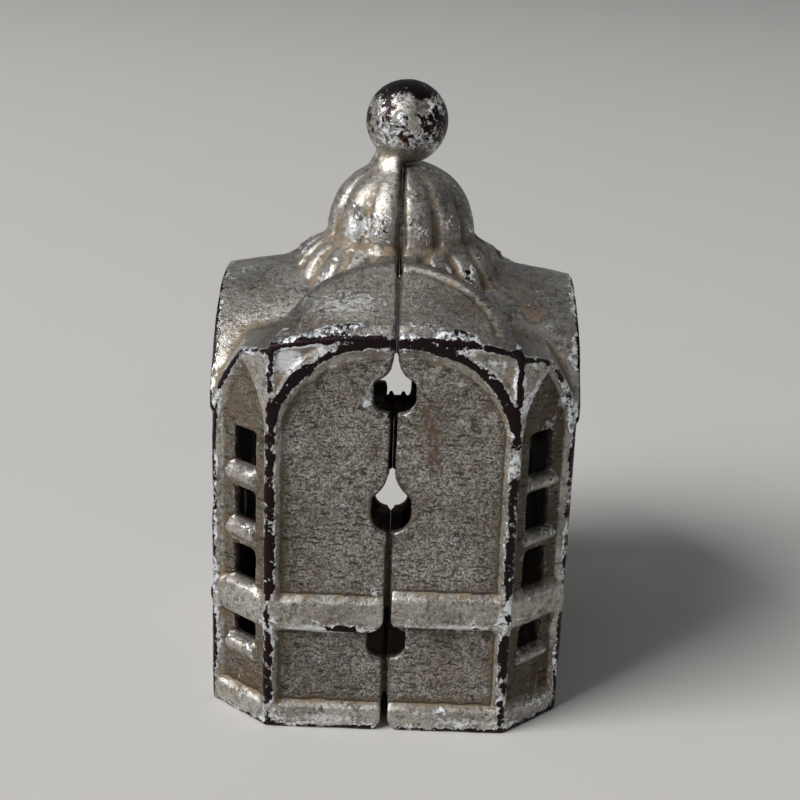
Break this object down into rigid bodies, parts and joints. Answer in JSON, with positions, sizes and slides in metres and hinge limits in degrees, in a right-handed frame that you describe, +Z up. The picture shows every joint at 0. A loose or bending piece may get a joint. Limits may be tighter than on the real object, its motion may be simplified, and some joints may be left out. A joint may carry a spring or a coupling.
{
  "type": "still bank",
  "caption": "Domed octagonal building cast in halves that a long screw holds together, with pierced windows, ribbed dome, ball finial and a coin slot.",
  "frame": {"origin": "middle of the base, on the surface that the bank stands on", "axes": "+Z up through the ball finial; +X from the front half to the back half, along the screw; Y across the two seam sides, with the seam plane at X = 0"},
  "size_m": [0.0698, 0.0812, 0.12],
  "materials": {
    "silvered_iron": "sand-cast iron with worn aluminium paint, rusty in the recesses and bare along the edges",
    "dark_steel": "darkened steel with a trace of rust"
  },
  "bodies": {
    "front_casting": {"front_half": "silvered_iron"},
    "back_casting": {"back_half": "silvered_iron"},
    "screw": {"assembly_screw": "dark_steel"}
  },
  "joints": [
    {"name": "halves_part", "type": "slide", "parent": "front_casting", "child": "back_casting", "axis": [1, 0, 0], "range_m": [0, 0.01016]},
    {"name": "screw_turn", "type": "hinge", "parent": "back_casting", "child": "screw", "pos_m": [0, 0, 0.053], "axis": [1, 0, 0], "range_deg": [0, 1440.5]}
  ],
  "couplings": [
    {"joint": "screw_turn", "follows": "halves_part", "rad_per_m": 2473.7}
  ]
}
